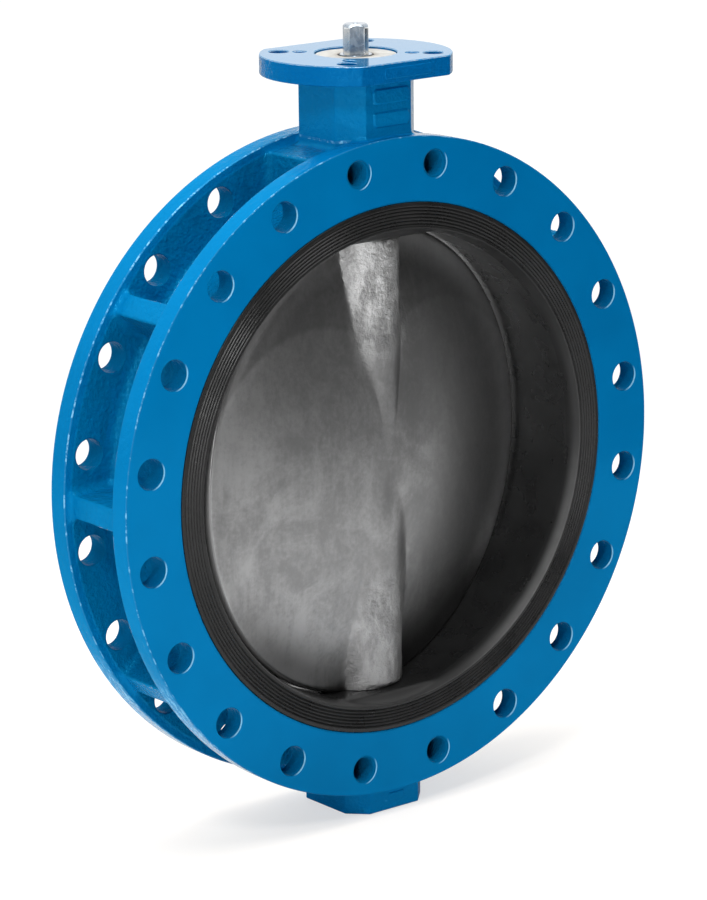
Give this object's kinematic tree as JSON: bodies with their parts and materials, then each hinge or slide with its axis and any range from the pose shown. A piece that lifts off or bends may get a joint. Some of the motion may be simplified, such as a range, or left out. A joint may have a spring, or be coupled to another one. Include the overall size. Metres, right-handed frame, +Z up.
{
  "type": "butterfly valve",
  "caption": "Double-flanged concentric butterfly valve: cast body with rubber seat, domed disc turning on a two-piece stem, octagonal neck, actuator flange and square stem end.",
  "frame": {"origin": "on the stem axis, at the face of the foot the valve stands on", "axes": "+Z up the stem towards the actuator flange, Y along the pipe, whose axis is 330 mm above the origin, X across the valve"},
  "size_m": [0.6146, 0.146, 0.734],
  "materials": {
    "body_paint": "gloss blue enamel over cast iron",
    "liner_rubber": "satin moulded EPDM",
    "disc_metal": "cast, dark plated, with a polished sealing edge",
    "stem_steel": "turned and ground stainless steel",
    "bush_bronze": "turned bronze",
    "retainer_nylon": "cream nylon",
    "seal_rubber": "satin black nitrile",
    "spring_steel": "black oxide",
    "gasket_fibre": "matt fibre",
    "screw_steel": "bright zinc"
  },
  "bodies": {
    "body": {"valve_body": "body_paint", "seat_liner": "liner_rubber", "upper_bush": "bush_bronze", "top_bush": "bush_bronze", "lower_bush": "bush_bronze", "stem_o_ring_1": "seal_rubber", "stem_o_ring_2": "seal_rubber", "pivot_o_ring": "seal_rubber", "lower_thrust_washer": "bush_bronze", "upper_thrust_washer": "bush_bronze", "retainer_plate": "retainer_nylon", "wiper_seal": "seal_rubber", "thrust_pad": "bush_bronze", "bottom_cover": "body_paint", "cover_gasket": "gasket_fibre", "cover_screw_1": "screw_steel", "cover_screw_2": "screw_steel", "cover_screw_3": "screw_steel", "cover_screw_4": "screw_steel"},
    "rotor": {"disc": "disc_metal", "drive_shaft": "stem_steel", "pivot_shaft": "stem_steel", "stem_snap_ring": "spring_steel"}
  },
  "joints": [
    {"name": "stem_turn", "type": "hinge", "parent": "body", "child": "rotor", "pos_m": [0, 0, 0.33], "axis": [0, 0, 1], "range_deg": [-11, 79]}
  ]
}
